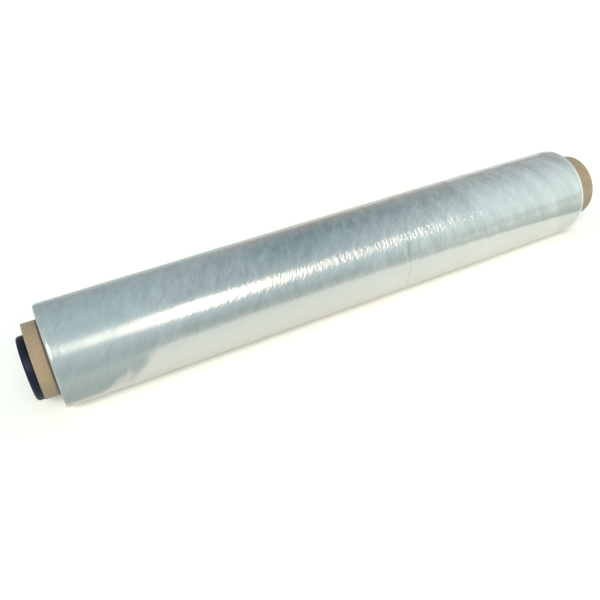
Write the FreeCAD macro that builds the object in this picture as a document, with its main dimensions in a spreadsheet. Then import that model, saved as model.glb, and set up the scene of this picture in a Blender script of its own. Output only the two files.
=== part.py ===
"""Stretch wrap roll: clear film wound on a kraft paper core, with a loose plastic plug in one end of the core.

The row's X axis runs along the roll, from the plugged end towards the open end, with +Z up and the origin on
the roll's axis at the middle of the film. The roll lies on a small flat spot, as a soft roll does.
"""
import FreeCAD, Part
import math
import os

import Sketcher

DRIVING_SIZES = [
    # alias, value in millimetres, what it measures
    ("film_width", 500.0, "width of the film, end face to end face"),
    ("film_radius", 41.0, "outer radius of the winding at the inner side of its edge bands"),
    ("film_crown", 0.7, "how far the winding swells above that radius"),
    ("crown_place", 90.0, "where along the axis the swelling is highest"),
    ("tail_step", 0.3, "height of the step that the film's free edge makes: some plies that cling together"),
    ("flat_depth", 0.8, "how deep the flat spot is under the roll"),
    ("ridge_place", 9.0, "distance of the edge ridge from the film's end face"),
    ("ridge_height", 0.15, "how far the edge ridge stands above the film radius"),
    ("shoulder_drop", 1.3, "how much smaller the winding is at its end faces"),
    ("turn_depth", 0.8, "depth of the spiral mark between bands of turns on the end faces"),
    ("core_radius", 29.65, "outer radius of the paper core"),
    ("core_wall", 4.25, "wall of the paper core, which leaves a bore of two inches"),
    ("core_near", 11.7, "how far the core stands out of the film at its plugged end"),
    ("core_far", 23.3, "how far the core stands out of the film at its open end"),
    ("core_edge", 0.4, "edge break at the cut ends of the core"),
    ("bell_flare", 0.6, "how much wider the worn mouth at the plugged end is than the bore"),
    ("bell_length", 27.0, "length of that worn mouth"),
    ("plug_radius", 20.8, "outer radius of the plug's spigot"),
    ("plug_length", 29.0, "length of the plug, flange and spigot"),
    ("plug_wall", 2.0, "wall of the plug"),
    ("plug_round", 2.5, "rounding round the flange's closed face"),
    ("flange_radius", 25.4, "outer radius of the plug's flange"),
    ("flange_thick", 5.6, "thickness of the plug's flange"),
    ("flange_gap", 0.1, "how far the flange's lower edge stays off the core's cut end"),
    ("plug_rib", 1.6, "thickness of the stiffening ribs inside the plug"),
    ("plug_rib_short", 5.0, "how far the ribs stop short of the plug's open end"),
    ("plug_gap", 0.02, "clearance under the plug"),
]

CORE_BORE = "(Sizes.core_radius - Sizes.core_wall)"
CORE_MOUTH = f"({CORE_BORE} + Sizes.bell_flare)"
FACE_RADIUS = "(Sizes.film_radius - Sizes.shoulder_drop)"

TURN_PASSES = 4
TURN_PITCH = f"(({FACE_RADIUS} - Sizes.core_radius) / {TURN_PASSES + 1})"
CROWN_SPANS = 6

doc = FreeCAD.newDocument("StretchWrapRoll")

sheet = doc.addObject("Spreadsheet::Sheet", "Sizes")
for row, (alias, value, meaning) in enumerate(DRIVING_SIZES, start=1):
    sheet.set(f"A{row}", meaning)
    sheet.set(f"B{row}", str(value))
    sheet.setAlias(f"B{row}", alias)
doc.recompute()


def size(alias):
    """The value of one driving size, in millimetres."""
    return float(sheet.get(alias))


def value_of(formula):
    """Work out a formula of driving sizes through the sheet's own expression engine."""
    return float(sheet.evalExpression(formula))


def origin_plane(body, role):
    """The body's own origin plane of that role."""
    return next(feature for feature in body.Origin.OriginFeatures if feature.Role == role)


def new_sketch(body, role, name):
    """A sketch on one of the body's origin planes."""
    sketch = body.newObject("Sketcher::SketchObject", name)
    sketch.AttachmentSupport = [(origin_plane(body, role), "")]
    sketch.MapMode = "FlatFace"
    return sketch


def bind(sketch, kind, elements, formula):
    """Add one dimension to the sketch and bind it to a formula of driving sizes."""
    index = sketch.addConstraint(Sketcher.Constraint(kind, *elements, value_of(formula)))
    sketch.setExpression(f"Constraints[{index}]", formula)


def pin_point(sketch, edge, end, place):
    """Fix one end of an edge at a place given by two formulas, measured from the sketch's origin."""
    for kind, formula in zip(("DistanceX", "DistanceY"), place):
        if formula == "0":
            axis = -2 if kind == "DistanceX" else -1
            sketch.addConstraint(Sketcher.Constraint("PointOnObject", edge, end, axis))
        else:
            bind(sketch, kind, (-1, 1, edge, end), formula)


def closed_outline(sketch, places):
    """Draw a closed outline of straight edges through places, each one a pair of formulas."""
    points = [FreeCAD.Vector(value_of(x), value_of(y), 0) for x, y in places]
    count = len(places)
    first = sketch.GeometryCount
    for k in range(count):
        sketch.addGeometry(Part.LineSegment(points[k], points[(k + 1) % count]), False)
    for k in range(count):
        after = first + (k + 1) % count
        sketch.addConstraint(Sketcher.Constraint("Coincident", first + k, 2, after, 1))
    for k in range(count):
        pin_point(sketch, first + k, 1, places[k])


def revolved(body, name, sketch, axis, angle=360.0, reverse=False):
    """Turn a sketch about an axis of its own and add the solid to the body."""
    turned = body.newObject("PartDesign::Revolution", name)
    turned.Profile = sketch
    turned.ReferenceAxis = (sketch, [axis])
    turned.Angle = angle
    turned.Reversed = reverse
    return turned


def cut_through(body, name, sketch):
    """Cut a sketch right through the body, to both sides of the sketch's plane."""
    pocket = body.newObject("PartDesign::Pocket", name)
    pocket.Profile = sketch
    pocket.Type = "ThroughAll"
    pocket.Midplane = True
    return pocket


def checked_less(before, after, what):
    """Stop if a cut has taken nothing away."""
    doc.recompute()
    if after.Shape.Volume >= before.Shape.Volume - 1e-6:
        raise RuntimeError(f"{what} cuts nothing")


def winding_places(axis_height, radius_less, side):
    """The half section of the winding, as places for closed_outline.

    axis_height is the formula of the line it is turned about, radius_less what its radii are short of the
    driving ones, and side is 1 where the section lies on the +Y side of that line and -1 on the other side.
    """
    half = "Sizes.film_width / 2"
    mark = "+" if side > 0 else "-"

    def place(along, outward):
        return along, f"{axis_height} {mark} ({outward} - {radius_less})"

    def edge_band(end):
        """From the end face to the inner side of the edge band, for the end at -1 or +1."""
        sign = "-" if end < 0 else ""
        steps = (
            ("0", FACE_RADIUS),
            ("Sizes.ridge_place * 0.13", "Sizes.film_radius - Sizes.shoulder_drop * 0.42"),
            ("Sizes.ridge_place * 0.42", "Sizes.film_radius - Sizes.shoulder_drop * 0.1"),
            ("Sizes.ridge_place", "Sizes.film_radius + Sizes.ridge_height"),
            ("Sizes.ridge_place * 1.45", "Sizes.film_radius"),
        )
        band = [(f"{sign}({half} - {inward})", out) for inward, out in steps]
        return band if end < 0 else band[::-1]

    def crown():
        """The swell between the two edge bands: highest at the crown place, level with them at both ends."""
        places = []
        for k in range(1, CROWN_SPANS):
            share = 2 * k / CROWN_SPANS - 1
            along = f"({half} - Sizes.ridge_place * 1.45) * {share:.4f} + Sizes.crown_place * {1 - share**2:.4f}"
            places.append((along, f"Sizes.film_radius + Sizes.film_crown * {1 - share**2:.4f}"))
        return places

    outer = edge_band(-1) + crown() + edge_band(1)
    section = [(f"-{half}", axis_height)]
    section += [place(along, outward) for along, outward in outer]
    section += [(half, axis_height)]
    return section


def spiral_mark(body, name, end):
    """Cut the spiral between bands of turns into one end face: half circles about two centres in turn."""
    spine = new_sketch(body, "YZ_Plane", f"{name}_path")
    spine.AttachmentOffset = FreeCAD.Placement(
        FreeCAD.Vector(0, 0, end * value_of("Sizes.film_width / 2")), FreeCAD.Rotation()
    )
    sign = "-" if end < 0 else ""
    spine.setExpression("AttachmentOffset.Base.z", f"{sign}Sizes.film_width / 2")
    start = f"({FACE_RADIUS} - {TURN_PITCH} * 0.55)"
    for k in range(2 * TURN_PASSES):
        below = k % 2 == 1
        centre_y = value_of(f"-{TURN_PITCH} / 2") if below else 0.0
        radius = value_of(f"{start} - {TURN_PITCH} * {k / 2}")
        circle = Part.Circle(FreeCAD.Vector(centre_y, 0, 0), FreeCAD.Vector(0, 0, 1), radius)
        angles = (math.pi, 2 * math.pi) if below else (0.0, math.pi)
        spine.addGeometry(Part.ArcOfCircle(circle, *angles), False)
        if k:
            spine.addConstraint(Sketcher.Constraint("Coincident", k - 1, 2, k, 1))
        else:
            bind(spine, "Radius", (k,), start)
            spine.addConstraint(Sketcher.Constraint("PointOnObject", k, 1, -1))
        if below:
            bind(spine, "DistanceX", (-1, 1, k, 3), f"-{TURN_PITCH} / 2")
        else:
            spine.addConstraint(Sketcher.Constraint("PointOnObject", k, 3, -2))
        spine.addConstraint(Sketcher.Constraint("PointOnObject", k, 3, -1))
        spine.addConstraint(Sketcher.Constraint("PointOnObject", k, 2, -1))
    notch = new_sketch(body, "XY_Plane", f"{name}_notch")
    face = f"{sign}Sizes.film_width / 2"
    outward = "+" if end > 0 else "-"
    inward = "-" if end > 0 else "+"
    closed_outline(notch, [
        (f"{face} {outward} Sizes.turn_depth / 2", f"{start} - {TURN_PITCH} * 0.4"),
        (f"{face} {outward} Sizes.turn_depth / 2", f"{start} + {TURN_PITCH} * 0.4"),
        (f"{face} {inward} Sizes.turn_depth", start),
    ])
    doc.recompute()
    groove = body.newObject("PartDesign::SubtractivePipe", name)
    groove.Profile = notch
    groove.Spine = (spine, [f"Edge{k + 1}" for k in range(2 * TURN_PASSES)])
    return groove


def build_winding():
    """All turns of the film as one solid: a spiral section with its free edge, a swell, shoulders and a flat spot."""
    body = doc.addObject("PartDesign::Body", "FilmWinding")
    body.Label = "film_winding"

    upper = new_sketch(body, "XY_Plane", "UpperSection")
    closed_outline(upper, winding_places("0", "0", 1))
    doc.recompute()
    upper_half = revolved(body, "UpperTurns", upper, "H_Axis", 180.0)
    doc.recompute()

    # the lower half turns about a line half a step behind, so the outline is a spiral with one free edge
    lower = new_sketch(body, "XY_Plane", "LowerSection")
    closed_outline(lower, winding_places("-Sizes.tail_step / 2", "Sizes.tail_step / 2", -1))
    doc.recompute()
    line = lower.addGeometry(
        Part.LineSegment(FreeCAD.Vector(-300, -0.15, 0), FreeCAD.Vector(300, -0.15, 0)), True
    )
    lower.addConstraint(Sketcher.Constraint("Horizontal", line))
    pin_point(lower, line, 1, ("-Sizes.film_width / 2", "-Sizes.tail_step / 2"))
    bind(lower, "DistanceX", (-1, 1, line, 2), "Sizes.film_width / 2")
    lower_half = revolved(body, "LowerTurns", lower, "Axis0", 180.0)
    doc.recompute()

    hole = new_sketch(body, "YZ_Plane", "CoreSection")
    hole.addGeometry(Part.Circle(FreeCAD.Vector(0, 0, 0), FreeCAD.Vector(0, 0, 1), size("core_radius")), False)
    hole.addConstraint(Sketcher.Constraint("Coincident", 0, 3, -1, 1))
    bind(hole, "Radius", (0,), "Sizes.core_radius")
    core_space = cut_through(body, "CoreSpace", hole)
    checked_less(lower_half, core_space, "the space for the core")

    under = new_sketch(body, "YZ_Plane", "FlatSection")
    level = "-(Sizes.film_radius - Sizes.flat_depth)"
    below = "-(Sizes.film_radius + Sizes.film_crown + 5)"
    closed_outline(under, [
        ("-Sizes.film_radius", level),
        ("Sizes.film_radius", level),
        ("Sizes.film_radius", below),
        ("-Sizes.film_radius", below),
    ])
    flat_spot = cut_through(body, "FlatSpot", under)
    checked_less(core_space, flat_spot, "the flat spot")

    near_mark = spiral_mark(body, "NearTurns", -1)
    checked_less(flat_spot, near_mark, "the spiral of the near end face")
    far_mark = spiral_mark(body, "FarTurns", 1)
    checked_less(near_mark, far_mark, "the spiral of the far end face")
    return body


def build_core():
    """The spiral-wound paper tube under the film, open through its whole length, with a worn mouth at one end."""
    body = doc.addObject("PartDesign::Body", "PaperCore")
    body.Label = "core"
    near = "-(Sizes.film_width / 2 + Sizes.core_near)"
    far = "(Sizes.film_width / 2 + Sizes.core_far)"
    section = new_sketch(body, "XZ_Plane", "CoreWall")
    closed_outline(section, [
        (near, CORE_MOUTH),
        (near, "Sizes.core_radius - Sizes.core_edge"),
        (f"{near} + Sizes.core_edge", "Sizes.core_radius"),
        (f"{far} - Sizes.core_edge", "Sizes.core_radius"),
        (far, "Sizes.core_radius - Sizes.core_edge"),
        (far, f"{CORE_BORE} + Sizes.core_edge"),
        (f"{far} - Sizes.core_edge", CORE_BORE),
        (f"{near} + Sizes.bell_length", CORE_BORE),
    ])
    doc.recompute()
    revolved(body, "CoreTube", section, "H_Axis")
    return body


def build_plug():
    """A moulded plug: a thick flange over a cup-shaped spigot with crossed ribs inside.

    The spigot lies loose in the core's worn mouth, so the flange hangs low outside it.
    """
    body = doc.addObject("PartDesign::Body", "CorePlug")
    body.Label = "core_plug"
    section = new_sketch(body, "XZ_Plane", "PlugWall")
    inner = "Sizes.plug_radius - Sizes.plug_wall"
    places = [
        ("0", "0"),
        ("0", "Sizes.flange_radius - Sizes.plug_round"),
        ("Sizes.plug_round", "Sizes.flange_radius"),
        ("Sizes.flange_thick", "Sizes.flange_radius"),
        ("Sizes.flange_thick", "Sizes.plug_radius"),
        ("Sizes.plug_length", "Sizes.plug_radius"),
        ("Sizes.plug_length", inner),
        ("Sizes.plug_wall", inner),
        ("Sizes.plug_wall", "0"),
    ]
    points = [FreeCAD.Vector(value_of(x), value_of(y), 0) for x, y in places]
    count = len(places)
    rounded = 1
    for k in range(count):
        if k == rounded:
            centre = FreeCAD.Vector(size("plug_round"), size("flange_radius") - size("plug_round"), 0)
            circle = Part.Circle(centre, FreeCAD.Vector(0, 0, 1), size("plug_round"))
            section.addGeometry(Part.ArcOfCircle(circle, math.pi / 2, math.pi), False)
        else:
            section.addGeometry(Part.LineSegment(points[k], points[(k + 1) % count]), False)
    for k in range(count):
        # an arc runs the other way round, so its ends change places
        leave = 1 if k == rounded else 2
        arrive = 2 if (k + 1) % count == rounded else 1
        section.addConstraint(Sketcher.Constraint("Coincident", k, leave, (k + 1) % count, arrive))
    for k in range(count):
        pin_point(section, k, 2 if k == rounded else 1, places[k])
    bind(section, "Radius", (rounded,), "Sizes.plug_round")
    doc.recompute()
    revolved(body, "PlugShell", section, "H_Axis")
    doc.recompute()

    rib_sketch = new_sketch(body, "XZ_Plane", "RibSection")
    reach = "(Sizes.plug_radius - Sizes.plug_wall / 2)"
    rib_end = "Sizes.plug_length - Sizes.plug_rib_short"
    closed_outline(rib_sketch, [
        ("Sizes.plug_wall / 2", f"-{reach}"),
        ("Sizes.plug_wall / 2", reach),
        (rib_end, reach),
        (rib_end, f"-{reach}"),
    ])
    rib = body.newObject("PartDesign::Pad", "PlugRib")
    rib.Profile = rib_sketch
    rib.Midplane = True
    rib.setExpression("Length", "Sizes.plug_rib")
    doc.recompute()
    cross = body.newObject("PartDesign::PolarPattern", "PlugRibs")
    cross.Originals = [rib]
    axis = next(feature for feature in body.Origin.OriginFeatures if feature.Role == "X_Axis")
    cross.Axis = (axis, [""])
    cross.Angle = 180
    cross.Occurrences = 2
    body.Tip = cross

    # the spigot lies on the floor of the worn mouth, which slopes down towards the end of the core
    slope = math.atan2(size("bell_flare"), size("bell_length"))
    mouth = -(size("film_width") / 2 + size("core_near"))
    drop = value_of(CORE_MOUTH) - (size("plug_radius") + size("plug_gap")) / math.cos(slope)
    along = FreeCAD.Vector(math.cos(slope), 0, math.sin(slope))
    stand_out = size("flange_thick") + size("flange_radius") * math.sin(slope) + size("flange_gap")
    place = FreeCAD.Vector(mouth, 0, -drop) - along * stand_out
    body.Placement = FreeCAD.Placement(place, FreeCAD.Rotation(FreeCAD.Vector(0, 1, 0), -math.degrees(slope)))
    return body


parts = [build_winding(), build_core(), build_plug()]
doc.recompute()

failed = [item.Name for item in doc.Objects if "Invalid" in item.State or "Error" in item.State]
if failed:
    raise RuntimeError("these features failed: " + ", ".join(failed))

os.makedirs("parts", exist_ok=True)
for part in parts:
    shape = part.Shape
    if shape.isNull() or not shape.isValid() or len(shape.Solids) != 1:
        raise RuntimeError(f"{part.Label} is not one sound solid")
    shape.exportStep(f"parts/{part.Label}.step")
    box = shape.BoundBox
    print(f"{part.Label}: {shape.Volume / 1000:.2f} cm3, {len(shape.Faces)} faces, "
          f"x {box.XMin:.2f} to {box.XMax:.2f}, y {box.YMin:.2f} to {box.YMax:.2f}, "
          f"z {box.ZMin:.2f} to {box.ZMax:.2f}")
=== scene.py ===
"""Looks of a stretch wrap roll: clear film wound on a kraft paper core, with a loose navy plug in one end.

The roll lies on a plain pale floor. X runs along its axis from the plugged end to the open end, Z is up, the
origin is on the axis at the middle of the film, and every length is in metres.
"""
from __future__ import annotations

import logging
import math
from dataclasses import dataclass, field
from enum import Enum

import bpy
import numpy as np
from mathutils import Matrix, Vector

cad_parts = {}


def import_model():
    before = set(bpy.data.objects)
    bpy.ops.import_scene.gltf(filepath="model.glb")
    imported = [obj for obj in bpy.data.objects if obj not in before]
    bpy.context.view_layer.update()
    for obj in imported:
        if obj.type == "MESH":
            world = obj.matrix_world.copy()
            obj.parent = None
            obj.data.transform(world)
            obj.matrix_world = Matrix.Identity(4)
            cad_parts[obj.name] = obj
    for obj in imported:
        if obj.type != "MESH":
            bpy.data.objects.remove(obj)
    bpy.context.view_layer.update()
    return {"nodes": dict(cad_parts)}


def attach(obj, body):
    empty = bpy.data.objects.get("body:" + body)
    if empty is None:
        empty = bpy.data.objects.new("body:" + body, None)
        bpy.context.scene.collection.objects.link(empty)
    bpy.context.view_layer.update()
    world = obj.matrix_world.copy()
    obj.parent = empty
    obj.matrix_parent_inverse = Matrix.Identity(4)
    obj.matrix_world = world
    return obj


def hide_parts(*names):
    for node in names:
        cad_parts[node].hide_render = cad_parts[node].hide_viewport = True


LOG = logging.getLogger("stretch_wrap_roll")
MM = 0.001
MAP_NAME = "Surface"

Socket = bpy.types.NodeSocket
Colour = tuple[float, float, float]
Span = tuple[float, float]
Stops = tuple[tuple[float, Colour], ...]

RISING: Span = (0.0, 1.0)
FALLING: Span = (1.0, 0.0)
MOST_NOISE: Span = (0.3, 0.7)


def add_object(name: str, data: bpy.types.ID) -> bpy.types.Object:
    """Put new data into the scene.

    Args:
        name: name of the object.
        data: its mesh, lamp or camera.

    Returns:
        The object, at the origin, unturned and unscaled.
    """
    made = bpy.data.objects.new(name, data)
    bpy.context.scene.collection.objects.link(made)
    return made


class Slot(Enum):
    """The record's material slots of the two new meshes."""

    FILM = "film"
    CORE = "kraft_core"


class End(Enum):
    """The roll's two ends, each with the sign that X has there."""

    PLUGGED = -1
    OPEN = 1


@dataclass(frozen=True)
class SurfaceGrid:
    """Points of a surface that closes on itself both ways, with the texture place of every face corner.

    points has the shape (rows, columns, 3). places has one row and one column more, so the pattern can run on
    across both joins instead of turning back. Faces that meet at more than the crease's degrees keep a sharp
    edge.
    """

    points: np.ndarray
    places: np.ndarray
    crease: float = 32.0

    def corner_indices(self) -> tuple[np.ndarray, np.ndarray]:
        """Number the four corners of every quad.

        Each quad goes from (row, column) by the next column and the next row back to the start. The first row
        follows the last one again, and so does the first column.

        Returns:
            Corner indices into the points and into the texture places, both with the shape (quads, 4).
        """
        rows, columns = self.points.shape[:2]
        row, column = np.meshgrid(np.arange(rows), np.arange(columns), indexing="ij")
        row = row.ravel()
        column = column.ravel()
        corner_rows = np.stack([row, row, row + 1, row + 1], axis=1)
        corner_columns = np.stack([column, column + 1, column + 1, column], axis=1)
        vertex = (corner_rows % rows) * columns + corner_columns % columns
        place = corner_rows * self.places.shape[1] + corner_columns
        return vertex, place

    def to_object(
        self, name: str, materials: list[bpy.types.Material], row_material: np.ndarray
    ) -> bpy.types.Object:
        """Make the surface a mesh object with smooth faces, outward normals and a texture map.

        The corners are turned round where the volume that they enclose comes out negative.

        Args:
            name: name of the object.
            materials: the finishes, in the order of their numbers.
            row_material: for each row of quads the number of its finish.

        Returns:
            The new object.
        """
        columns = self.points.shape[1]
        vertex, place = self.corner_indices()
        flat_points = self.points.reshape(-1, 3)
        a, b, c, d = (flat_points[vertex[:, k]] for k in range(4))
        volume = np.einsum("ij,ij->i", a, np.cross(b, c) + np.cross(c, d)).sum() / 6
        if volume < 0:
            vertex = vertex[:, ::-1]
            place = place[:, ::-1]
        mesh = bpy.data.meshes.new(name)
        mesh.from_pydata(flat_points, [], vertex)
        layer = mesh.uv_layers.new(name=MAP_NAME)
        corner_places = self.places.reshape(-1, 2)[place.ravel()]
        layer.data.foreach_set("uv", corner_places.astype(np.float32).ravel())
        for material in materials:
            mesh.materials.append(material)
        mesh.polygons.foreach_set("material_index", np.repeat(row_material, columns).astype(np.int32))
        mesh.shade_smooth()
        mesh.set_sharp_from_angle(angle=math.radians(self.crease))
        mesh.update()
        return add_object(name, mesh)


@dataclass(frozen=True)
class Ripples:
    """A seeded sum of plane waves, for the uneven surface of film wound under tension.

    height(x, s) = sum over k of cos(2 pi (x cos t_k + s sin t_k) / l_k + p_k), divided by the root of half
    the number of waves so that its spread is 1. The lengths l_k, directions t_k and phases p_k are drawn from
    the seed within the given limits.
    """

    count: int
    lengths: Span
    directions: Span
    seed: int

    def height(self, along: np.ndarray, around: np.ndarray) -> np.ndarray:
        """Work out the waves at places given along the axis and around the roll.

        Args:
            along: distance along the roll's axis.
            around: arc length around the roll, in the same shape.

        Returns:
            Heights with a spread of 1, in the same shape.
        """
        draw = np.random.default_rng(self.seed)
        length = draw.uniform(*self.lengths, self.count)
        turn = np.radians(draw.uniform(*self.directions, self.count))
        phase = draw.uniform(0, 2 * math.pi, self.count)
        wave_x = (np.cos(turn) / length).reshape(-1, 1, 1)
        wave_s = (np.sin(turn) / length).reshape(-1, 1, 1)
        angle = 2 * math.pi * (wave_x * along + wave_s * around) + phase.reshape(-1, 1, 1)
        return np.cos(angle).sum(axis=0) / math.sqrt(self.count / 2)


class Graph:
    """The node graph of a material or of the room, built by naming each node and what feeds it."""

    def __init__(self, owner: bpy.types.Material | bpy.types.World) -> None:
        """Start with an empty graph.

        Args:
            owner: the new material or world that the graph belongs to.
        """
        owner.use_nodes = True
        self.owner = owner
        self.tree = owner.node_tree
        self.tree.nodes.clear()

    def node(
        self, kind: str, feeds: dict[str | int, object] | None = None, **settings: object
    ) -> bpy.types.Node:
        """Add a node and set or link its inputs.

        Args:
            kind: the node's type name.
            feeds: for each input, by name or number, a plain value or the socket that feeds it.
            settings: properties of the node itself.

        Returns:
            The new node.
        """
        made = self.tree.nodes.new(kind)
        for key, value in settings.items():
            setattr(made, key, value)
        for key, value in (feeds or {}).items():
            if isinstance(value, Socket):
                self.tree.links.new(value, made.inputs[key])
            else:
                made.inputs[key].default_value = value
        return made

    def math(self, operation: str, first: object, second: object = 0.0, clamp: bool = False) -> Socket:
        """Combine two numbers by one operation."""
        feeds = {0: first, 1: second}
        return self.node("ShaderNodeMath", feeds, operation=operation, use_clamp=clamp).outputs[0]

    def plus(self, first: object, second: object, clamp: bool = False) -> Socket:
        """Add two numbers."""
        return self.math("ADD", first, second, clamp)

    def minus(self, first: object, second: object, clamp: bool = False) -> Socket:
        """Take the second number from the first."""
        return self.math("SUBTRACT", first, second, clamp)

    def times(self, first: object, second: object) -> Socket:
        """Multiply two numbers."""
        return self.math("MULTIPLY", first, second)

    def rest(self, share: object) -> Socket:
        """What is left of 1 beside a share."""
        return self.minus(1.0, share)

    def between(self, share: object, low: object, high: object) -> Socket:
        """Go from one number to another as a share goes from 0 to 1."""
        return self.spread(share, RISING, (low, high))

    def spread(self, value: object, source: Span, target: tuple[object, object] = RISING) -> Socket:
        """Carry a number from one span to another and hold it within the new one.

        Args:
            value: the number.
            source: its span.
            target: the span that it is carried to.

        Returns:
            The carried number.
        """
        low, high = source
        to_low, to_high = target
        feeds = {"Value": value, "From Min": low, "From Max": high, "To Min": to_low, "To Max": to_high}
        return self.node("ShaderNodeMapRange", feeds, clamp=True).outputs["Result"]

    def noise(self, vector: object, scale: float, detail: float = 2.0, rough: float = 0.5) -> Socket:
        """A noise between 0 and 1 at a scale in cycles per unit of the vector."""
        feeds = {"Vector": vector, "Scale": scale, "Detail": detail, "Roughness": rough}
        return self.node("ShaderNodeTexNoise", feeds).outputs["Fac"]

    def rings(self, radius: object, scale: float, detail: float, rough: float) -> Socket:
        """A noise that changes with the distance to the axis alone."""
        along_radius = self.node("ShaderNodeCombineXYZ", {"X": radius}).outputs[0]
        return self.noise(along_radius, scale, detail, rough)

    def blend(self, share: object, first: object, second: object) -> Socket:
        """Mix two colours.

        Args:
            share: the share of the second colour, from 0 to 1.
            first: a colour or the socket of one.
            second: a colour or the socket of one.

        Returns:
            The mixed colour.
        """
        mix = self.node("ShaderNodeMix", data_type="RGBA")
        for key, value in ((0, share), (6, first), (7, second)):
            if isinstance(value, Socket):
                self.tree.links.new(value, mix.inputs[key])
            else:
                mix.inputs[key].default_value = (*value, 1.0) if isinstance(value, tuple) else value
        return mix.outputs[2]

    def map_place(self) -> Socket:
        """The place of a point on its mesh's map, in metres along and around the roll."""
        return self.node("ShaderNodeUVMap", uv_map=MAP_NAME).outputs["UV"]

    def own_place(self) -> Socket:
        """The place of a point in its own piece, in metres."""
        return self.node("ShaderNodeTexCoord").outputs["Object"]

    def split(self, vector: object) -> tuple[Socket, Socket, Socket]:
        """Take a vector apart into its three numbers."""
        parts = self.node("ShaderNodeSeparateXYZ", {0: vector}).outputs
        return parts["X"], parts["Y"], parts["Z"]

    def from_axis(self, y: Socket, z: Socket) -> tuple[Socket, Socket]:
        """Measure a place from the roll's axis.

        Args:
            y: the place's Y.
            z: its Z.

        Returns:
            The vector from the axis to the place, and its length.
        """
        offset = self.node("ShaderNodeCombineXYZ", {"Y": y, "Z": z}).outputs[0]
        radius = self.node("ShaderNodeVectorMath", {0: offset}, operation="LENGTH").outputs["Value"]
        return offset, radius

    def measure(self, place: Socket, direction: tuple[float, float, float]) -> Socket:
        """Measure how far a place lies in a direction."""
        feeds = {0: place, 1: direction}
        return self.node("ShaderNodeVectorMath", feeds, operation="DOT_PRODUCT").outputs["Value"]

    def relief(self, height: object, strength: object, depth: float) -> Socket:
        """Turn a height into a normal, with a depth in metres."""
        feeds = {"Height": height, "Strength": strength, "Distance": depth}
        return self.node("ShaderNodeBump", feeds).outputs["Normal"]

    def surface(self, feeds: dict[str, object]) -> bpy.types.Material:
        """Close the graph with the main shader.

        Args:
            feeds: values and sockets for the shader's inputs.

        Returns:
            The finished material.
        """
        shader = self.node("ShaderNodeBsdfPrincipled", feeds)
        self.node("ShaderNodeOutputMaterial", {"Surface": shader.outputs["BSDF"]})
        return self.owner


@dataclass(frozen=True)
class Streaks:
    """A noise drawn out into streaks: turned by degrees, then with its own cycles per metre each way."""

    turn: float
    scale: tuple[float, float, float]
    detail: float = 2.0
    rough: float = 0.5

    def draw(self, graph: Graph, place: Socket) -> Socket:
        """Draw the streaks over a map.

        Args:
            graph: the graph.
            place: the place on the map.

        Returns:
            A number between 0 and 1.
        """
        feeds = {"Vector": place, "Rotation": (0, 0, math.radians(self.turn))}
        turned = graph.node("ShaderNodeMapping", feeds).outputs["Vector"]
        stretched = graph.node("ShaderNodeMapping", {"Vector": turned, "Scale": self.scale}).outputs["Vector"]
        return graph.noise(stretched, 1.0, self.detail, self.rough)


@dataclass(frozen=True)
class Zone:
    """A stretch of a coordinate that fades in over one span and out over another."""

    fade_in: Span
    fade_out: Span
    share: float = 1.0

    def mask(self, graph: Graph, value: Socket) -> Socket:
        """The zone's share inside it and 0 outside it."""
        entered = graph.spread(value, self.fade_in, (0.0, self.share))
        return graph.times(entered, graph.spread(value, self.fade_out, FALLING))


class FilmGraph(Graph):
    """The film's graph, which knows the place on the film's map and its two numbers.

    along runs from -0.25 at the plugged end to 0.25 at the open end. around runs from 0 at the back by 0.064
    at the top, 0.129 at the front and 0.193 underneath to 0.258 at the back again.
    """

    def __init__(self, owner: bpy.types.Material) -> None:
        """Start with the map alone.

        Args:
            owner: the film's new material.
        """
        super().__init__(owner)
        self.place = self.map_place()
        self.along, self.around, _ = self.split(self.place)


@dataclass(frozen=True)
class Looseness:
    """How loose the turns are: tight short of the middle, looser towards the open end and at the front."""

    front: Zone = Zone((0.045, 0.10), (0.20, 0.25))
    lean: float = 0.06
    reach: Span = (-0.06, 0.175)

    def share(self, graph: FilmGraph, uneven: Socket) -> Socket:
        """Work out the looseness.

        Args:
            graph: the film's graph.
            uneven: the place along the roll with its drift.

        Returns:
            0 where the turns are tight to 1 where they are loose.
        """
        behind = graph.rest(self.front.mask(graph, graph.around))
        return graph.spread(graph.minus(uneven, graph.times(behind, self.lean)), self.reach)


@dataclass(frozen=True)
class EndHaze:
    """The haze over the plugged end.

    It ends where the place along the roll, plus the lesser of rise times the way round from the back and fall
    times the way left to it, passes a span. That end is soft over the top and ragged and crisp below, and the
    underside is clear.
    """

    girth: float = 0.2576
    rise: float = 1.6
    fall: float = 4.5
    soft: Span = (-0.06, 0.05)
    crisp: Span = (0.005, 0.029)
    rags: Streaks = Streaks(-35, (70, 32, 1))
    rag_size: Span = (-0.008, 0.008)
    crisp_side: Zone = Zone((0.104, 0.113), (0.20, 0.24))
    underside: Zone = Zone((0.143, 0.152), (0.20, 0.24))

    def share(self, graph: FilmGraph, uneven: Socket) -> Socket:
        """Work out the haze.

        Args:
            graph: the film's graph.
            uneven: the place along the roll with its drift.

        Returns:
            1 in the haze and 0 outside it.
        """
        left = graph.minus(self.girth, graph.around)
        slant = graph.math("MINIMUM", graph.times(graph.around, self.rise), graph.times(left, self.fall))
        slanted = graph.plus(uneven, slant)
        rags = graph.spread(self.rags.draw(graph, graph.place), MOST_NOISE, self.rag_size)
        soft = graph.spread(slanted, self.soft, FALLING)
        crisp = graph.spread(graph.plus(slanted, rags), self.crisp, FALLING)
        fading = graph.between(self.crisp_side.mask(graph, graph.around), soft, crisp)
        return graph.times(fading, graph.rest(self.underside.mask(graph, graph.around)))


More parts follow.
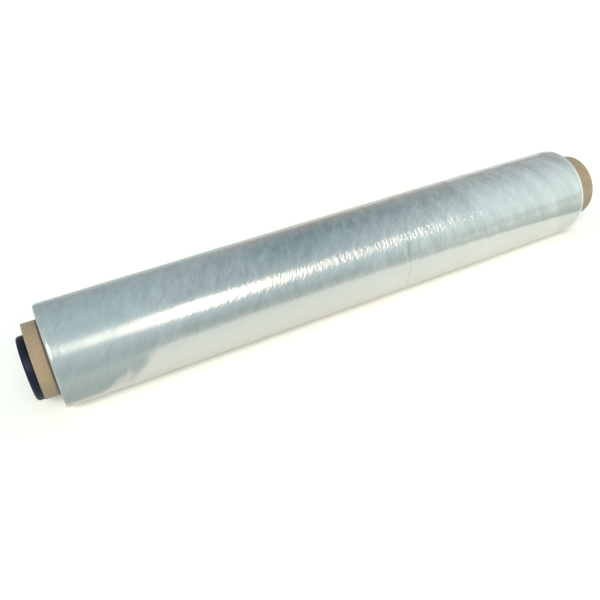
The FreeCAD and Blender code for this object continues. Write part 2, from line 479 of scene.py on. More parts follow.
@dataclass(frozen=True)
class FoldShade:
    """The one fold that runs round the front of the film, a thin line of painted shade that wanders a little.
    """

    wander_scale: float = 40.0
    line: Span = (-0.0525, -0.0455)
    half_width: float = 1.8 * MM
    depth: float = 0.30
    length: Zone = Zone((0.088, 0.100), (0.14, 0.17))

    def share(self, graph: FilmGraph) -> Socket:
        """Work out the fold's darkness.

        Args:
            graph: the film's graph.

        Returns:
            The share of its shade, greatest along its line.
        """
        wander = graph.spread(graph.noise(graph.place, self.wander_scale), MOST_NOISE, self.line)
        away = graph.math("ABSOLUTE", graph.plus(graph.along, wander))
        line = graph.spread(away, (0.0, self.half_width), (self.depth, 0.0))
        return graph.times(line, self.length.mask(graph, graph.around))


@dataclass(frozen=True)
class CutEdgeHighlight:
    """The pale cut turns at both ends, with a painted highlight strongest at the front of the open end."""

    open_line: Span = (0.2466, 0.2486)
    open_share: float = 0.6
    front: Span = (0.075, 0.095)
    back_share: float = 0.4
    plugged_line: Span = (-0.2494, -0.2480)
    plugged_share: float = 0.08

    def share(self, graph: FilmGraph) -> Socket:
        """Work out the pale lines.

        Args:
            graph: the film's graph.

        Returns:
            Their share of the colour.
        """
        line = graph.spread(graph.along, self.open_line, (0.0, self.open_share))
        opened = graph.times(line, graph.spread(graph.around, self.front, (self.back_share, 1.0)))
        return graph.plus(opened, graph.spread(graph.along, self.plugged_line, (self.plugged_share, 0.0)))


@dataclass(frozen=True)
class Fibres:
    """Strokes of three kinds and cloudy patches, as many thin turns with air between them show."""

    fine: Streaks = Streaks(-20, (460, 105, 1), 2.0, 0.55)
    cross: Streaks = Streaks(-50, (430, 100, 1), 2.0, 0.55)
    hair: Streaks = Streaks(-4, (1100, 60, 1))
    patches: Streaks = Streaks(-25, (150, 60, 1), 4.0, 0.65)
    pleats: Streaks = Streaks(12, (330, 45, 1))
    fine_share: float = 0.6
    cross_share: float = 0.5
    stroke_share: float = 0.42
    patch_share: float = 0.54
    contrast: Span = (0.38, 0.62)
    hair_reach: Span = (-0.08, 0.05)
    hair_height: float = 0.8
    pleat_reach: Span = (0.0, 0.5)
    pleat_height: float = 1.9

    def strokes(self, graph: FilmGraph) -> Socket:
        """The two crossing kinds of fine strokes together."""
        fine = graph.times(self.fine.draw(graph, graph.place), self.fine_share)
        return graph.plus(fine, graph.times(self.cross.draw(graph, graph.place), self.cross_share))

    def cloud(self, graph: FilmGraph, strokes: Socket) -> Socket:
        """The strokes over the cloudy patches, from 0 to 1."""
        patches = graph.times(self.patches.draw(graph, graph.place), self.patch_share)
        return graph.spread(graph.plus(graph.times(strokes, self.stroke_share), patches), self.contrast)

    def height(self, graph: FilmGraph, strokes: Socket, loose: Socket) -> Socket:
        """Raise the strokes, hairs past the middle of the roll and pleats where the turns are loose.

        Args:
            graph: the film's graph.
            strokes: the fine strokes.
            loose: how loose the turns are.

        Returns:
            The height of the relief.
        """
        hair_share = graph.spread(graph.along, self.hair_reach, (0.0, self.hair_height))
        hair = graph.times(self.hair.draw(graph, graph.place), hair_share)
        pleat_share = graph.spread(loose, self.pleat_reach, (0.0, self.pleat_height))
        pleats = graph.times(self.pleats.draw(graph, graph.place), pleat_share)
        return graph.plus(graph.plus(strokes, hair), pleats)


@dataclass(frozen=True)
class Turns:
    """How the turns lie at a point, as numbers from 0 to 1 for the film's colour, mirroring and relief.

    strip is the taut strip, clean the part of it without haze, and edge the share of the pale cut edges with
    their painted highlight.
    """

    strokes: Socket
    loose: Socket
    milk: Socket
    haze: Socket
    strip: Socket
    clean: Socket
    edge: Socket


@dataclass(frozen=True)
class ClearFilm:
    """Clear stretch film in many turns: each turn mirrors a little, so together they shine like pale metal.

    The turns cling tightly over the middle of the roll. Towards both ends more air lies between them, which
    makes them hazier and mirrors less, and towards the open end they are also wrinkled and milky. A taut
    strip along the front's lower side stays smooth and takes a cream tint that paints the floor's reflection.
    The haze is painted darker on its lower side as shade, and the fold is a line of painted shade.
    """

    clear: Colour = (0.59, 0.595, 0.58)
    hazy: Colour = (0.40, 0.45, 0.46)
    # painted shade: the haze's darker colour on the roll's lower side
    hazy_painted_shade: Colour = (0.275, 0.31, 0.315)
    milky: Colour = (0.715, 0.725, 0.70)
    # painted reflection: the cream of the pale floor, laid on the clean strip
    painted_floor_reflection: Colour = (0.66, 0.64, 0.60)
    floor_reflection_share: float = 0.3
    # painted shade along the fold's crease
    painted_fold_shade: Colour = (0.15, 0.17, 0.17)
    # pale cut edge with a painted highlight
    pale_edge_and_highlight: Colour = (0.80, 0.80, 0.77)
    rim: Colour = (0.82, 0.79, 0.79)
    index: float = 1.49
    mirror: float = 0.90
    mirror_hazy: float = 0.40
    mirror_milky: float = 0.50
    fibre_share: float = 0.11
    fibre_loose: Span = (0.4, 1.0)
    fibre_rest: float = 0.5
    gloss: float = 0.215
    gloss_hazy: float = 0.24
    gloss_milky: float = 0.09
    relief_depth: float = 0.3 * MM
    relief_near: Span = (-0.24, -0.07)
    relief_least: float = 0.22
    relief_far: Span = (0.08, 0.18)
    relief_last: float = 0.30
    clouds: Streaks = Streaks(-25, (26, 12, 1), 3.0)
    drift: Span = (-0.02, 0.02)
    wisps: Streaks = Streaks(22, (95, 13, 1), 3.0, 0.6)
    wisp_core: Span = (0.42, 0.70)
    wisp_share: Span = (-0.15, 0.35)
    milk_share: float = 0.75
    # where the painted shade lies on the haze's lower side
    painted_shade_side: Zone = Zone((0.09, 0.135), (0.19, 0.23))
    taut_strip: Zone = Zone((0.114, 0.124), (0.19, 0.23), 0.96)
    looseness: Looseness = Looseness()
    haze: EndHaze = EndHaze()
    fold: FoldShade = FoldShade()
    cut_edge_highlight: CutEdgeHighlight = CutEdgeHighlight()
    fibres: Fibres = Fibres()

    def relief(self, graph: FilmGraph, turns: Turns) -> Socket:
        """Make the strokes, hairs and pleats stand out, most of all over the middle and never on the strip.

        Args:
            graph: the film's graph.
            turns: how the turns lie.

        Returns:
            The normal.
        """
        strength = graph.spread(graph.along, self.relief_near, (self.relief_least, 1.0))
        strength = graph.times(strength, graph.rest(turns.strip))
        strength = graph.times(strength, graph.spread(graph.along, self.relief_far, (1.0, self.relief_last)))
        height = self.fibres.height(graph, turns.strokes, turns.loose)
        return graph.relief(height, strength, self.relief_depth)

    def tint(self, graph: FilmGraph, turns: Turns) -> Socket:
        """Lay the colours over one another, from the tight turns up to the cut edges, with painted shade on
        the haze's lower side and along the fold, a painted floor reflection on the clean strip and a painted
        highlight on the cut edges.

        Args:
            graph: the film's graph.
            turns: how the turns lie.

        Returns:
            The colour.
        """
        # painted shade: the haze darkens towards the roll's lower side
        hazy = graph.blend(self.painted_shade_side.mask(graph, graph.around), self.hazy, self.hazy_painted_shade)
        colour = graph.blend(turns.haze, graph.blend(turns.milk, self.clear, self.milky), hazy)
        # painted shade: a dark line along the fold
        colour = graph.blend(self.fold.share(graph), colour, self.painted_fold_shade)
        # painted reflection of the pale floor on the clean taut strip
        colour = graph.blend(graph.times(turns.clean, self.floor_reflection_share), colour, self.painted_floor_reflection)
        # pale cut edges with a painted highlight, strongest at the front of the open end
        return graph.blend(turns.edge, colour, self.pale_edge_and_highlight)

    def mirroring(self, graph: FilmGraph, turns: Turns) -> Socket:
        """Work out how much of the light the turns mirror, mottled by the fibres except on the clean strip.

        Args:
            graph: the film's graph.
            turns: how the turns lie.

        Returns:
            The mirrored share.
        """
        mirror = graph.spread(turns.milk, RISING, (self.mirror, self.mirror_milky))
        cloud = self.fibres.cloud(graph, turns.strokes)
        mottle = graph.spread(cloud, RISING, (self.fibre_share, -self.fibre_share))
        mottle = graph.times(mottle, graph.spread(turns.loose, self.fibre_loose, (1.0, self.fibre_rest)))
        mottled = graph.plus(graph.between(turns.haze, mirror, self.mirror_hazy), mottle)
        return graph.between(turns.clean, mottled, self.mirror)

    def dress(self) -> bpy.types.Material:
        """Build the finish from the map whose first place is along the roll and whose second is around it.

        Returns:
            The film's material.
        """
        graph = FilmGraph(bpy.data.materials.new("clear_film"))
        clouds = self.clouds.draw(graph, graph.place)
        uneven = graph.plus(graph.along, graph.spread(clouds, MOST_NOISE, self.drift))
        loose = self.looseness.share(graph, uneven)
        haze = self.haze.share(graph, uneven)
        wisps = graph.spread(self.wisps.draw(graph, graph.place), self.wisp_core, self.wisp_share)
        milk = graph.plus(graph.times(loose, self.milk_share), graph.times(wisps, loose), clamp=True)
        strip = self.taut_strip.mask(graph, graph.around)
        clean = graph.times(strip, graph.rest(haze))
        edge = self.cut_edge_highlight.share(graph)
        turns = Turns(self.fibres.strokes(graph), loose, milk, haze, strip, clean, edge)
        gloss = graph.spread(milk, RISING, (self.gloss, self.gloss_milky))
        return graph.surface({
            "Base Color": self.tint(graph, turns),
            "Metallic": graph.minus(self.mirroring(graph, turns), edge, clamp=True),
            "Roughness": graph.between(haze, gloss, self.gloss_hazy),
            "IOR": self.index,
            "Specular Tint": (*self.rim, 1.0),
            "Normal": self.relief(graph, turns),
        })


@dataclass(frozen=True)
class FilmEdges:
    """The cut edges of the turns, frosted and ringed, as the roll's end faces show them."""

    pale: Colour = (0.60, 0.67, 0.68)
    dark: Colour = (0.34, 0.41, 0.43)
    ring_scale: float = 2600.0
    ring_detail: float = 4.0
    ring_rough: float = 0.65
    ring_share: float = 0.8
    mottle_scale: float = 180.0
    mottle_share: float = 0.3
    contrast: Span = (0.35, 0.75)
    relief: float = 0.4
    relief_depth: float = 0.2 * MM
    rough: float = 0.42
    index: float = 1.49

    def dress(self) -> bpy.types.Material:
        """Build the finish from the distance to the roll's axis.

        Returns:
            The material of the end faces.
        """
        graph = Graph(bpy.data.materials.new("film_edges"))
        _, y, z = graph.split(graph.own_place())
        offset, radius = graph.from_axis(y, z)
        rings = graph.rings(radius, self.ring_scale, self.ring_detail, self.ring_rough)
        mottle = graph.times(graph.noise(offset, self.mottle_scale), self.mottle_share)
        share = graph.plus(graph.times(rings, self.ring_share), mottle)
        return graph.surface({
            "Base Color": graph.blend(graph.spread(share, self.contrast), self.dark, self.pale),
            "Roughness": self.rough,
            "IOR": self.index,
            "Normal": graph.relief(rings, self.relief, self.relief_depth),
        })


@dataclass(frozen=True)
class KraftPaper:
    """Bare brown kraft paper: short fibres and soft mottling, plies on the cut ends and painted shade below.

    A dark line of painted shadow lies beside the film, and each share is that of the colour laid over the
    ones before.
    """

    light: Colour = (0.345, 0.252, 0.157)
    dark: Colour = (0.25, 0.18, 0.106)
    fibre: Colour = (0.19, 0.13, 0.08)
    # painted shadow of the film on the core
    painted_film_shadow: Colour = (0.06, 0.04, 0.03)
    mottle_scale: float = 90.0
    mottle_detail: float = 4.0
    mottle_rough: float = 0.6
    grain: Streaks = Streaks(33, (260, 720, 1), 4.0, 0.7)
    grain_core: Span = (0.35, 0.65)
    grain_share: float = 0.7
    flecks: Streaks = Streaks(33, (520, 1200, 1))
    fleck_core: Span = (0.60, 0.72)
    fleck_share: float = 0.6
    ply_scale: float = 2400.0
    ply_detail: float = 2.0
    ply_rough: float = 0.6
    ply_core: Span = (0.42, 0.62)
    ply_share: float = 0.55
    cut_end: Zone = Zone((25.5 * MM, 25.8 * MM), (29.2 * MM, 29.5 * MM))
    # painted shade: the core grows darker towards its lower side
    lower_shade_span: Span = (-24 * MM, 8 * MM)
    lower_shade_share: float = 0.7
    # where the film's painted shadow lies on the core, beside each film end
    film_shadow_line: Span = (250.9 * MM, 252.4 * MM)
    relief: float = 0.35
    relief_depth: float = 0.2 * MM
    rough: Span = (0.62, 0.85)
    shine: float = 0.3
    fuzz: float = 0.15
    fuzz_rough: float = 0.6

    def dress(self) -> bpy.types.Material:
        """Build the finish from a map that runs along and around the tube, and from the place on the roll.

        Returns:
            The core's material.
        """
        graph = Graph(bpy.data.materials.new("kraft_paper"))
        place = graph.map_place()
        mottle = graph.noise(place, self.mottle_scale, self.mottle_detail, self.mottle_rough)
        mottle = graph.spread(mottle, MOST_NOISE)
        grain = self.grain.draw(graph, place)
        grained = graph.spread(grain, self.grain_core, (0.0, self.grain_share))
        flecks = graph.spread(self.flecks.draw(graph, place), self.fleck_core, (0.0, self.fleck_share))
        colour = graph.blend(grained, graph.blend(mottle, self.dark, self.light), self.light)
        colour = graph.blend(flecks, colour, self.fibre)

        x, y, z = graph.split(graph.own_place())
        _, radius = graph.from_axis(y, z)
        plies = graph.rings(radius, self.ply_scale, self.ply_detail, self.ply_rough)
        plies = graph.spread(plies, self.ply_core, (0.0, self.ply_share))
        colour = graph.blend(graph.times(plies, self.cut_end.mask(graph, radius)), colour, self.fibre)
        # painted shade: the core darker towards its lower side, in the fibre colour
        lower_shade = graph.spread(z, self.lower_shade_span, (self.lower_shade_share, 0.0))
        colour = graph.blend(lower_shade, colour, self.fibre)
        # painted shadow: a dark line on the core beside each end of the film
        film_shadow = graph.spread(graph.math("ABSOLUTE", x), self.film_shadow_line, FALLING)
        return graph.surface({
            "Base Color": graph.blend(film_shadow, colour, self.painted_film_shadow),
            "Roughness": graph.spread(grain, MOST_NOISE, self.rough),
            "Specular IOR Level": self.shine,
            "Sheen Weight": self.fuzz,
            "Sheen Roughness": self.fuzz_rough,
            "Normal": graph.relief(grain, self.relief, self.relief_depth),
        })


@dataclass(frozen=True)
class NavyPlastic:
    """Dark navy moulded plastic, satin, with a fine moulded grain and light scuffs."""

    navy: Colour = (0.008, 0.012, 0.027)
    scuff: Colour = (0.028, 0.037, 0.058)
    grain_scale: float = 1900.0
    scuffs: Streaks = Streaks(25, (160, 900, 900), 3.0, 0.6)
    scuff_core: Span = (0.62, 0.8)
    scuff_share: float = 0.6
    relief: float = 0.18
    relief_depth: float = 0.1 * MM
    rough_core: Span = (0.3, 0.8)
    rough: Span = (0.36, 0.55)
    index: float = 1.5
    shine: float = 0.15

    def dress(self) -> bpy.types.Material:
        """Build the finish from the plug's own place.

        Returns:
            The plug's material.
        """
        graph = Graph(bpy.data.materials.new("navy_plastic"))
        place = graph.own_place()
        scuffs = self.scuffs.draw(graph, place)
        scuffed = graph.spread(scuffs, self.scuff_core, (0.0, self.scuff_share))
        grain = graph.noise(place, self.grain_scale)
        return graph.surface({
            "Base Color": graph.blend(scuffed, self.navy, self.scuff),
            "Roughness": graph.spread(scuffs, self.rough_core, self.rough),
            "IOR": self.index,
            "Specular IOR Level": self.shine,
            "Normal": graph.relief(grain, self.relief, self.relief_depth),
        })


@dataclass
class FilmWinding:
    """All turns of the film: a swollen cylinder with shoulders, a free edge, marked ends and a flat spot."""

    half_width: float = 250 * MM
    radius: float = 41.0 * MM
    crown: float = 0.63 * MM
    crown_place: float = 90 * MM
    tail_step: float = 0.3 * MM
    flat_level: float = -40.2 * MM
    core_radius: float = 29.65 * MM
    shoulder_drop: float = 1.3 * MM
    shoulder_reach: float = 1.7 * MM
    shoulder_reach_plugged: float = 0.9 * MM
    ridge_place: float = 9.0 * MM
    ridge_height: float = 0.08 * MM
    ridge_reach: float = 2.2 * MM
    turn_pitch: float = 2.01 * MM
    turn_depth: float = 0.8 * MM
    turn_start: float = 0.55
    mark_reach: float = 0.4
    mark_fade: float = 0.125
    sags: Ripples = field(default_factory=lambda: Ripples(14, (0.05, 0.12), (-35, 35), 11))
    sag_height: float = 0.03 * MM
    folds: Ripples = field(default_factory=lambda: Ripples(22, (0.012, 0.03), (-62, -12), 23))
    fold_height: float = 0.006 * MM
    fold_height_loose: float = 0.03 * MM
    fold_reach: float = 120 * MM
    calm_reach: float = 14 * MM
    columns: int = 240
    rows_along: int = 320
    rows_face: int = 27
    crowding: float = 0.85
    join_turn: float = 0.005
    join_length: float = 1 * MM

    def profile_radius(self, along: np.ndarray) -> np.ndarray:
        """Radius of the winding by place along the axis.

        It is the nominal radius, less a drop that fades away from each end face, and sooner from the one at
        the plug, more a low ridge beside each face, and more a swell that is 1 - t squared high, with t from
        -1 at the plugged end by 0 at the swell's highest place to 1 at the open end.

        Args:
            along: distance along the axis.

        Returns:
            Radii in the same shape.
        """
        inward = self.half_width - np.abs(along)
        reach = np.where(along < 0, self.shoulder_reach_plugged, self.shoulder_reach)
        drop = self.shoulder_drop * np.exp(-inward / reach)
        ridge = self.ridge_height * np.exp(-(((inward - self.ridge_place) / self.ridge_reach) ** 2))
        from_crown = along - self.crown_place
        run = np.where(from_crown < 0, self.half_width + self.crown_place, self.half_width - self.crown_place)
        swell = self.crown * (1 - (from_crown / run) ** 2)
        return self.radius - drop + ridge + swell

    def outer_surface(self, angle: np.ndarray) -> tuple[np.ndarray, np.ndarray]:
        """The outside of the roll as axial places and radii on a grid.

        Rows crowd towards both ends: x = half width times (c sin(pi t / 2) + (1 - c) t), with c the crowding
        and t from -1 at one end face to 1 at the other. The lower half's radius falls by the free edge's step
        on its way round, so the last column lies a step inside the first one. Long sags and short folds are
        added, the folds higher towards the open end, and both fade out at the end faces.

        Args:
            angle: angles of the columns.

        Returns:
            Axial places and radii, both with the shape (rows, columns).
        """
        t = np.linspace(-1, 1, self.rows_along)
        spaced = np.sin(t * math.pi / 2) * self.crowding + t * (1 - self.crowding)
        along = np.repeat((self.half_width * spaced)[:, None], self.columns, axis=1)
        around = self.radius * np.repeat(angle[None, :], self.rows_along, axis=0)
        spiral = np.where(angle > math.pi, self.tail_step * (1 + np.cos(angle)) / 2, 0.0)
        inward = self.half_width - np.abs(along)
        calm = np.clip(inward / self.calm_reach, 0, 1)
        loose = np.clip(along / self.fold_reach, 0, 1)
        uneven = self.sag_height * self.sags.height(along, around)
        uneven += (self.fold_height + self.fold_height_loose * loose) * self.folds.height(along, around)
        return along, self.profile_radius(along) - spiral[None, :] + uneven * calm

    def end_face(self, angle: np.ndarray, end: End, rim: np.ndarray) -> tuple[np.ndarray, np.ndarray]:
        """One end face between the core and the outer rim, with its spiral of turn bands.

        A V-shaped mark follows r = r0 - pitch * angle / 2 pi; its depth at a point falls linearly with the
        point's distance from the nearest pass, and near the core it fades out.

        Args:
            angle: angles of the columns.
            end: the end that the face is at.
            rim: radius of the outer rim in each column.

        Returns:
            Axial places and radii from the core outwards, both with the shape (rows, columns).
        """
        share = np.linspace(0, 1, self.rows_face, endpoint=False)[:, None]
        radius = self.core_radius + (rim[None, :] - self.core_radius) * share
        start = self.radius - self.shoulder_drop - self.turn_start * self.turn_pitch
        passes = (start - radius) / self.turn_pitch - angle[None, :] / (2 * math.pi)
        away = np.abs(passes - np.round(passes))
        mark = self.turn_depth * np.clip(1 - away / self.mark_reach, 0, 1)
        mark = mark * np.clip(share / self.mark_fade, 0, 1)
        return end.value * (self.half_width - mark), radius

    def build(self, materials: list[bpy.types.Material]) -> bpy.types.Object:
        """Join the core side, both end faces and the outside into one closed surface.

        Args:
            materials: the finish of the outside and that of the end faces.

        Returns:
            The film's object.
        """
        angle = np.linspace(0, 2 * math.pi, self.columns)
        outer_x, outer_r = self.outer_surface(angle)
        left_x, left_r = self.end_face(angle, End.PLUGGED, outer_r[0])
        right_x, right_r = self.end_face(angle, End.OPEN, outer_r[-1])
        along = np.concatenate([left_x, outer_x, right_x[::-1]])
        radius = np.concatenate([left_r, outer_r, right_r[::-1]])
        y = radius * np.cos(angle)
        z = np.maximum(radius * np.sin(angle), self.flat_level)
        points = np.stack([along, y, z], axis=2)

        path = np.concatenate([[0], np.cumsum(np.hypot(np.diff(along[:, 0]), np.diff(radius[:, 0])))])
        path = path - path[self.rows_face] - self.half_width
        path = np.append(path, path[-1] + self.join_length)
        arc = self.radius * np.append(angle, angle[-1] + self.join_turn)
        places = np.stack(np.meshgrid(path, arc, indexing="ij"), axis=2)
        row_material = np.ones(len(along), dtype=np.int32)
        row_material[self.rows_face:self.rows_face + self.rows_along - 1] = 0
        return SurfaceGrid(points, places).to_object("film", materials, row_material)


@dataclass
class PaperCore:
    """The kraft paper tube: a thick wall with cut ends, a ply joint that winds round it and a worn mouth."""

    near_end: float = -261.7 * MM
    far_end: float = 273.3 * MM
    radius: float = 29.65 * MM
    bore: float = 25.4 * MM
    mouth_flare: float = 0.6 * MM
    mouth_length: float = 27 * MM
    edge: float = 0.4 * MM
    film_half_width: float = 250 * MM
    ply_lead: float = 104 * MM
    ply_gap: float = 0.16 * MM
    ply_reach: float = 0.5 * MM
    columns: int = 180
    rows_edge: int = 5
    rows_near: int = 14
    rows_far: int = 26
    rows_wall: int = 8
    join_length: float = 1 * MM

    def outline(self) -> tuple[np.ndarray, np.ndarray]:
        """The wall's outline, along the outside from the plugged end and back through the bore.

        The cut edges outside and at the open end are quarter rounds.

        Returns:
            Axial places and radii of the outline's points.
        """
        quarter = np.linspace(0, math.pi / 2, self.rows_edge)
        rise = self.edge * (1 - np.cos(quarter))
        run = self.edge * (1 - np.sin(quarter))
        near = np.linspace(self.near_end + self.edge, -self.film_half_width, self.rows_near)[1:]
        far = np.linspace(self.film_half_width, self.far_end - self.edge, self.rows_far)[:-1]
        wall = np.linspace(self.bore + self.edge, self.radius - self.edge, self.rows_wall)[1:-1]
        parts = [
            (self.near_end + run, self.radius - self.edge + self.edge * np.sin(quarter)),
            (near, np.full(len(near), self.radius)),
            (far, np.full(len(far), self.radius)),
            (self.far_end - rise, self.radius - self.edge + self.edge * np.cos(quarter)),
            (np.full(len(wall), self.far_end), wall[::-1]),
            (self.far_end - run, self.bore + self.edge - self.edge * np.sin(quarter)),
            (np.array([self.near_end + self.mouth_length]), np.array([self.bore])),
            (np.array([self.near_end]), np.array([self.bore + self.mouth_flare])),
        ]
        return np.concatenate([part[0] for part in parts]), np.concatenate([part[1] for part in parts])

    def build(self, material: bpy.types.Material) -> bpy.types.Object:
        """Turn the wall's outline about the axis, with a shallow groove along the outer ply's joint.

        The groove lies on the helix x = lead * angle / 2 pi and is gap * exp(-(d / reach)^2) deep at the
        axial distance d from it.

        Args:
            material: the paper's finish.

        Returns:
            The core's object.
        """
        along, radius = self.outline()
        angle = np.linspace(0, 2 * math.pi, self.columns, endpoint=False)
        grid_x = np.repeat(along[:, None], self.columns, axis=1)
        grid_r = np.repeat(radius[:, None], self.columns, axis=1)
        turns = grid_x / self.ply_lead - angle[None, :] / (2 * math.pi)
        away = np.abs(turns - np.round(turns)) * self.ply_lead
        outside = grid_r > self.radius - self.edge / 2
        grid_r = grid_r - np.where(outside, self.ply_gap * np.exp(-((away / self.ply_reach) ** 2)), 0.0)
        points = np.stack([grid_x, grid_r * np.cos(angle), grid_r * np.sin(angle)], axis=2)
        path = np.concatenate([[0], np.cumsum(np.hypot(np.diff(along), np.diff(radius)))])
        path = np.append(path, path[-1] + self.join_length)
        arc = self.radius * np.append(angle, 2 * math.pi)
        places = np.stack(np.meshgrid(path, arc, indexing="ij"), axis=2)
        row_material = np.zeros(len(along), dtype=np.int32)
        return SurfaceGrid(points, places).to_object("paper_core", [material], row_material)


@dataclass(frozen=True)
class CorePlug:
    """The loose plug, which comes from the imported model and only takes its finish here."""

    node: str = "core_plug"

    def dress(self, nodes: dict[str, bpy.types.Object], material: bpy.types.Material) -> bpy.types.Object:
        """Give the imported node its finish.

        Args:
            nodes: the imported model's nodes by name.
            material: the plastic.

        Returns:
            The node's object.
        """
        plug = nodes[self.node]
        for slot in plug.material_slots:
            slot.material = material
        return plug


@dataclass(frozen=True)
class Camera:
    """The photograph's viewpoint: close to the plugged end, above the roll and on its near side."""

    place: tuple[float, float, float] = (-0.2397, -0.3891, 0.3591)
    forward: tuple[float, float, float] = (0.3445, 0.6637, -0.6639)
    lens: float = 39.4
    sensor: float = 36.0
    nearest: float = 10 * MM

    def set_up(self) -> None:
        """Make the scene's camera look along its forward direction with its picture level."""
        data = bpy.data.cameras.new("camera")
        data.lens = self.lens
        data.sensor_width = self.sensor
        data.clip_start = self.nearest
        camera = add_object("camera", data)
        back = -Vector(self.forward).normalized()
        right = Vector((0, 0, 1)).cross(back).normalized()
        up = back.cross(right)
        turn = Matrix((right, up, back)).transposed().to_4x4()
        camera.matrix_world = Matrix.Translation(self.place) @ turn
        bpy.context.scene.camera = camera


@dataclass(frozen=True)
class DistantLamp:
    """A distant lamp with a soft edge, given by the bearing and height that it shines from, in degrees.

    A bearing of 0 is the near side, and it grows towards the open end.
    """

    name: str
    bearing: float
    height: float
    spread: float
    strength: float
    colour: Colour

    def light(self) -> None:
        """Hang the lamp, turned so that it shines down its own direction."""
        data = bpy.data.lights.new(self.name, "SUN")
        data.energy = self.strength
        data.angle = math.radians(self.spread)
        data.color = self.colour
        lamp = add_object(self.name, data)
        bearing = math.radians(self.bearing)
        height = math.radians(self.height)
        level = math.cos(height)
        towards = Vector((level * math.sin(bearing), -level * math.cos(bearing), math.sin(height)))
        lamp.matrix_world = towards.to_track_quat("Z", "Y").to_matrix().to_4x4()


@dataclass(frozen=True)
class PaleFloor:
    """A plain floor: a pale mat as wide as the photograph's view, with soft edges, on soft grey."""

    level: float = -40.25 * MM
    half: float = 6.0
    pale: Colour = (0.93, 0.915, 0.86)
    grey: Colour = (0.45, 0.49, 0.46)
    across: Span = (0.8876, -0.4606)
    middle: float = -0.033
    front: float = -0.302
    half_width: float = 0.219
    flare: float = 0.342
    soft: float = 12 * MM
    rough: float = 0.8
    shine: float = 0.2

    def dress(self) -> bpy.types.Material:
        """Build the floor's finish.

        With u across the view and v away from it, the mat's edge lies where the lesser of v - front and
        half width + flare (v - front) - |u - middle| is zero. The tone turns over within the soft width.

        Returns:
            The floor's material.
        """
        graph = Graph(bpy.data.materials.new("pale_floor"))
        place = graph.own_place()
        across_x, across_y = self.across
        u = graph.measure(place, (across_x, across_y, 0))
        v = graph.measure(place, (-across_y, across_x, 0))
        ahead = graph.minus(v, self.front)
        aside = graph.math("ABSOLUTE", graph.minus(u, self.middle))
        reach = graph.plus(graph.times(ahead, self.flare), self.half_width)
        inside = graph.math("MINIMUM", ahead, graph.minus(reach, aside))
        colour = graph.blend(graph.spread(inside, (-self.soft, self.soft)), self.grey, self.pale)
        return graph.surface({
            "Base Color": colour,
            "Roughness": self.rough,
            "Specular IOR Level": self.shine,
        })

    def lay(self) -> None:
        """Lay the floor just under the flat spot."""
        side = np.array([-self.half, self.half])
        x, y = np.meshgrid(side, side, indexing="ij")
        corners = np.stack([x, y, np.full_like(x, self.level)], axis=2).reshape(-1, 3)
        mesh = bpy.data.meshes.new("floor")
        mesh.from_pydata(corners, [], [(0, 2, 3, 1)])
        mesh.materials.append(self.dress())
        floor = add_object("floor", mesh)


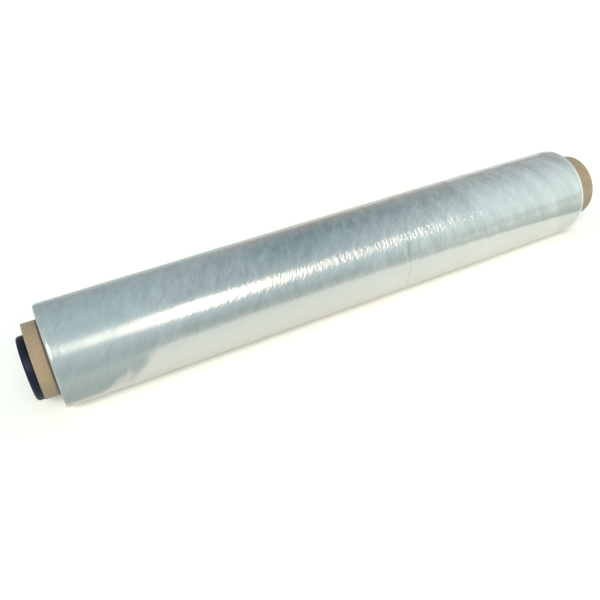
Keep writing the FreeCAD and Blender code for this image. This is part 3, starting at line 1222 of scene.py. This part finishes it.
@dataclass(frozen=True)
class RoomLight:
    """The room's soft light by height above the horizon, each height given as the sine of its angle.

    near is the side of the roll that the photograph shows, open_side the side past the roll's open end, and
    far the side behind the roll, which grows dimmer towards the open end. Each span of turning is one in X or
    Y of the direction, over which one side's light gives way to the next.
    """

    near: Stops = (
        (0.00, (0.42, 0.53, 0.52)),
        (0.17, (0.46, 0.60, 0.61)),
        (0.22, (0.52, 0.66, 0.67)),
        (0.50, (0.60, 0.77, 0.83)),
        (0.80, (0.46, 0.61, 0.68)),
        (1.00, (0.36, 0.50, 0.56)),
    )
    open_side: Stops = (
        (0.00, (0.38, 0.48, 0.47)),
        (0.145, (0.38, 0.48, 0.47)),
        (0.165, (0.66, 0.83, 0.84)),
        (0.50, (0.70, 0.87, 0.90)),
        (0.80, (0.52, 0.66, 0.71)),
        (1.00, (0.36, 0.50, 0.56)),
    )
    far: Stops = (
        (0.00, (0.50, 0.46, 0.45)),
        (0.25, (0.45, 0.465, 0.47)),
        (0.50, (0.30, 0.40, 0.44)),
        (0.80, (0.26, 0.39, 0.45)),
        (1.00, (0.36, 0.50, 0.56)),
    )
    dim: Colour = (0.12, 0.14, 0.15)
    dim_share: float = 0.35
    turn_to_open: Span = (0.42, 0.75)
    turn_to_dim: Span = (0.42, 0.68)
    turn_to_far: Span = (-0.25, 0.45)

    @staticmethod
    def ramp(graph: Graph, height: Socket, stops: Stops) -> Socket:
        """Turn a height from 0 to 1 into a colour by a row of stops.

        Args:
            graph: the world's graph.
            height: the height.
            stops: heights with the colours there.

        Returns:
            The colour.
        """
        made = graph.node("ShaderNodeValToRGB", {0: height})
        elements = made.color_ramp.elements
        while len(elements) < len(stops):
            elements.new(0.5)
        for element, (position, colour) in zip(elements, stops):
            element.position = position
            element.color = (*colour, 1.0)
        return made.outputs["Color"]

    def fill(self) -> None:
        """Give the scene this light as its world."""
        world = bpy.data.worlds.new("room")
        bpy.context.scene.world = world
        graph = Graph(world)
        x, y, height = graph.split(graph.node("ShaderNodeTexCoord").outputs["Generated"])
        near = self.ramp(graph, height, self.near)
        open_side = self.ramp(graph, height, self.open_side)
        near = graph.blend(graph.spread(x, self.turn_to_open), near, open_side)
        far = self.ramp(graph, height, self.far)
        far = graph.blend(graph.spread(x, self.turn_to_dim, (0.0, self.dim_share)), far, self.dim)
        colour = graph.blend(graph.spread(y, self.turn_to_far), near, far)
        background = graph.node("ShaderNodeBackground", {"Color": colour})
        graph.node("ShaderNodeOutputWorld", {"Surface": background.outputs[0]})


@dataclass(frozen=True)
class Studio:
    """The floor, the two lamps, the room's soft light and the plain view transform."""

    floor: PaleFloor = PaleFloor()
    room: RoomLight = RoomLight()
    lamps: tuple[DistantLamp, ...] = (
        DistantLamp("key", -40.0, 46.0, 25.0, 2.6, (1.0, 0.96, 0.90)),
        DistantLamp("glint", 12.0, 46.0, 22.0, 0.46, (1.0, 0.84, 0.65)),
    )

    def set_up(self) -> None:
        """Put floor, lamps and room light in place."""
        self.floor.lay()
        self.room.fill()
        for lamp in self.lamps:
            lamp.light()
        bpy.context.scene.view_settings.view_transform = "Standard"


def report(piece: bpy.types.Object) -> None:
    """Log a piece's name and the number of its faces."""
    LOG.info("%s: %d faces", piece.name, len(piece.data.polygons))


def show(piece: bpy.types.Object, slot: Slot, *nodes: str) -> None:
    """Let a piece stand for CAD nodes and report it.

    Args:
        piece: the dressed piece.
        slot: not used.
        nodes: the nodes it stands for.
    """
    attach(piece, "root")
    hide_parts(*nodes)
    report(piece)


def main() -> None:
    """Build the roll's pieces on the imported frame, then the studio and the camera."""
    logging.basicConfig(level=logging.INFO, format="%(name)s: %(message)s")
    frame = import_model()

    show(FilmWinding().build([ClearFilm().dress(), FilmEdges().dress()]), Slot.FILM, "film_winding")
    show(PaperCore().build(KraftPaper().dress()), Slot.CORE, "core")
    report(CorePlug().dress(frame["nodes"], NavyPlastic().dress()))

    Studio().set_up()
    Camera().set_up()


if __name__ == "__main__":
    main()
